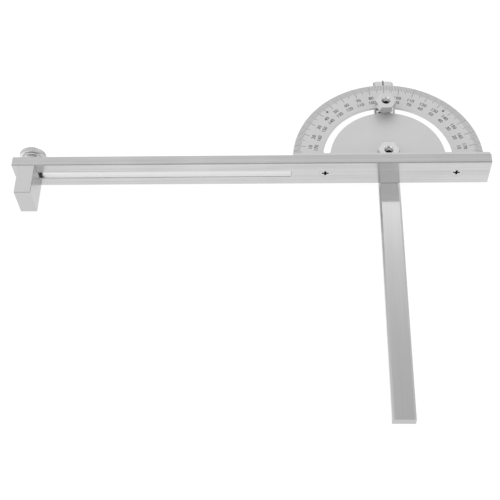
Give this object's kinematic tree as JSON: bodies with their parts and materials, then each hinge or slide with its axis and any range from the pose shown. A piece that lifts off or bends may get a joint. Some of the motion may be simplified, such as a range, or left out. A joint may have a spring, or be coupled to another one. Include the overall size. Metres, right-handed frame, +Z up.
{
  "type": "adjustable t square",
  "caption": "Adjustable drawing T-square: slotted fence bar with sliding stop, half-round protractor plate and a swinging arm clamped by hexagon hand nuts.",
  "frame": {"origin": "on the underside of the arm, on its centre line, straight below the working face of the fence", "axes": "+X along the fence to its short right end, +Y from the working face towards the protractor, +Z up"},
  "size_m": [0.3, 0.248, 0.0273],
  "materials": {
    "fence": "brushed along the bar",
    "plate": "satin sheet with etched scale",
    "arm": "brushed along the arm",
    "stop": "satin machined",
    "hand_nuts": "bright turned faces",
    "thumb_nut": "plated, straight knurl",
    "screws": "plain",
    "small_fasteners": "plain",
    "etching": "dark etched marks"
  },
  "bodies": {
    "fence": {"fence_bar": "fence", "protractor_plate": "plate", "flange_screw_left": "small_fasteners", "flange_screw_right": "small_fasteners", "flange_nut_left": "small_fasteners", "flange_nut_right": "small_fasteners"},
    "arm": {"slider_arm": "arm", "pivot_screw": "screws", "pivot_washer": "screws", "clamp_screw": "screws", "clamp_washer": "screws", "clamp_spring_washer": "screws"},
    "pivot_nut": {"pivot_nut": "hand_nuts"},
    "clamp_nut": {"clamp_nut": "hand_nuts"},
    "stop": {"stop_block": "stop", "stop_stud": "screws", "stop_washer": "screws"},
    "thumb_nut": {"thumb_nut": "thumb_nut"}
  },
  "joints": [
    {"name": "arm_swing", "type": "hinge", "parent": "fence", "child": "arm", "pos_m": [0, 0.0193, 0.003], "axis": [0, 0, 1], "range_deg": [-80, 80]},
    {"name": "pivot_nut_turn", "type": "hinge", "parent": "arm", "child": "pivot_nut", "pos_m": [0, 0.0193, 0.012], "axis": [0, 0, 1], "range_deg": [0, 360]},
    {"name": "clamp_nut_turn", "type": "hinge", "parent": "arm", "child": "clamp_nut", "pos_m": [0, 0.05885, 0.014], "axis": [0, 0, 1], "range_deg": [0, 360]},
    {"name": "stop_slide", "type": "slide", "parent": "fence", "child": "stop", "axis": [1, 0, 0], "range_m": [0, 0.16]},
    {"name": "thumb_nut_turn", "type": "hinge", "parent": "stop", "child": "thumb_nut", "pos_m": [-0.22885, 0.012, 0.0165], "axis": [0, 1, 0], "range_deg": [0, 360]}
  ]
}
